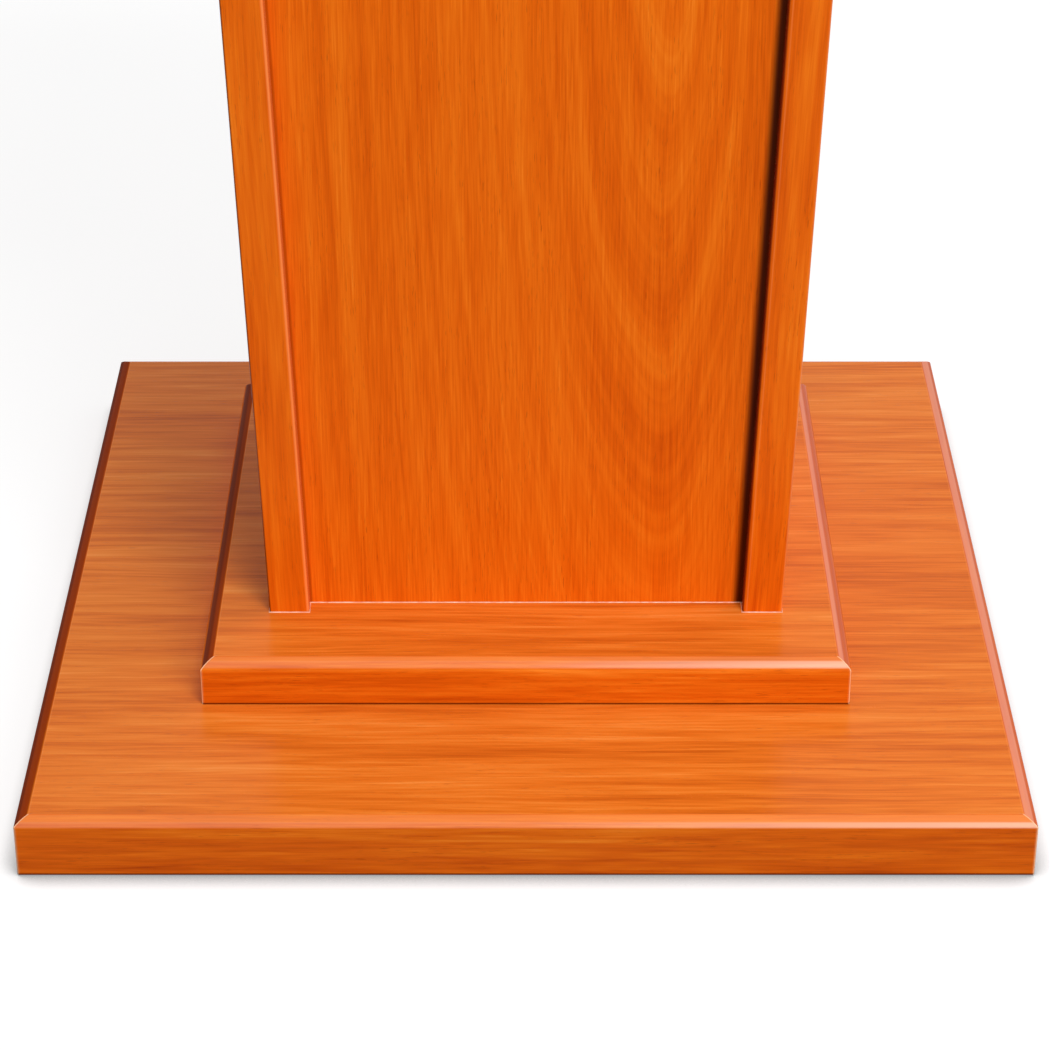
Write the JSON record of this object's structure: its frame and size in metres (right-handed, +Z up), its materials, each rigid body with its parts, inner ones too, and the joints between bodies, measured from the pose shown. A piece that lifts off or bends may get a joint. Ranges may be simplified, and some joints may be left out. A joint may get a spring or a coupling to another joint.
{
  "type": "display podium",
  "caption": "Wooden display podium: a column that widens upward, with a recessed panel, stands on a stepped base with moulded edges and carries a flat top.",
  "frame": {"origin": "on the floor, under the middle of the base board", "axes": "+Z up, +X to the right of someone who looks at the front, front faces -Y"},
  "size_m": [0.6, 0.6, 1.05],
  "materials": {
    "board_face": "semi-gloss lacquered cherry, grain left to right",
    "moulded_edge": "semi-gloss lacquered solid cherry edging",
    "side_board": "semi-gloss lacquered solid cherry, upright grain",
    "panel_face": "semi-gloss lacquered crown-cut cherry, upright grain",
    "inner_wood": "bare planed softwood",
    "dowel_wood": "bare turned beech",
    "screw_steel": "yellow passivated steel",
    "pad_rubber": "matt dark rubber"
  },
  "bodies": {
    "root": {"back_panel": "panel_face", "base_board": "board_face", "base_lipping_back": "moulded_edge", "base_lipping_front": "moulded_edge", "base_lipping_left": "moulded_edge", "base_lipping_right": "moulded_edge", "base_screws": "screw_steel", "cleat_screws": "screw_steel", "column_screws": "screw_steel", "floor_pads": "pad_rubber", "front_panel": "panel_face", "lower_cleat_back": "inner_wood", "lower_cleat_front": "inner_wood", "lower_cleat_left": "inner_wood", "lower_cleat_right": "inner_wood", "lower_dowels": "dowel_wood", "neck_board": "board_face", "neck_lipping_back": "moulded_edge", "neck_lipping_front": "moulded_edge", "neck_lipping_left": "moulded_edge", "neck_lipping_right": "moulded_edge", "neck_screws": "screw_steel", "plinth_board": "board_face", "plinth_lipping_back": "moulded_edge", "plinth_lipping_front": "moulded_edge", "plinth_lipping_left": "moulded_edge", "plinth_lipping_right": "moulded_edge", "side_board_left": "side_board", "side_board_right": "side_board", "top_board": "board_face", "top_lipping_back": "moulded_edge", "top_lipping_front": "moulded_edge", "top_lipping_left": "moulded_edge", "top_lipping_right": "moulded_edge", "top_screws": "screw_steel", "upper_cleat_back": "inner_wood", "upper_cleat_front": "inner_wood", "upper_cleat_left": "inner_wood", "upper_cleat_right": "inner_wood", "upper_dowels": "dowel_wood"}
  },
  "joints": []
}
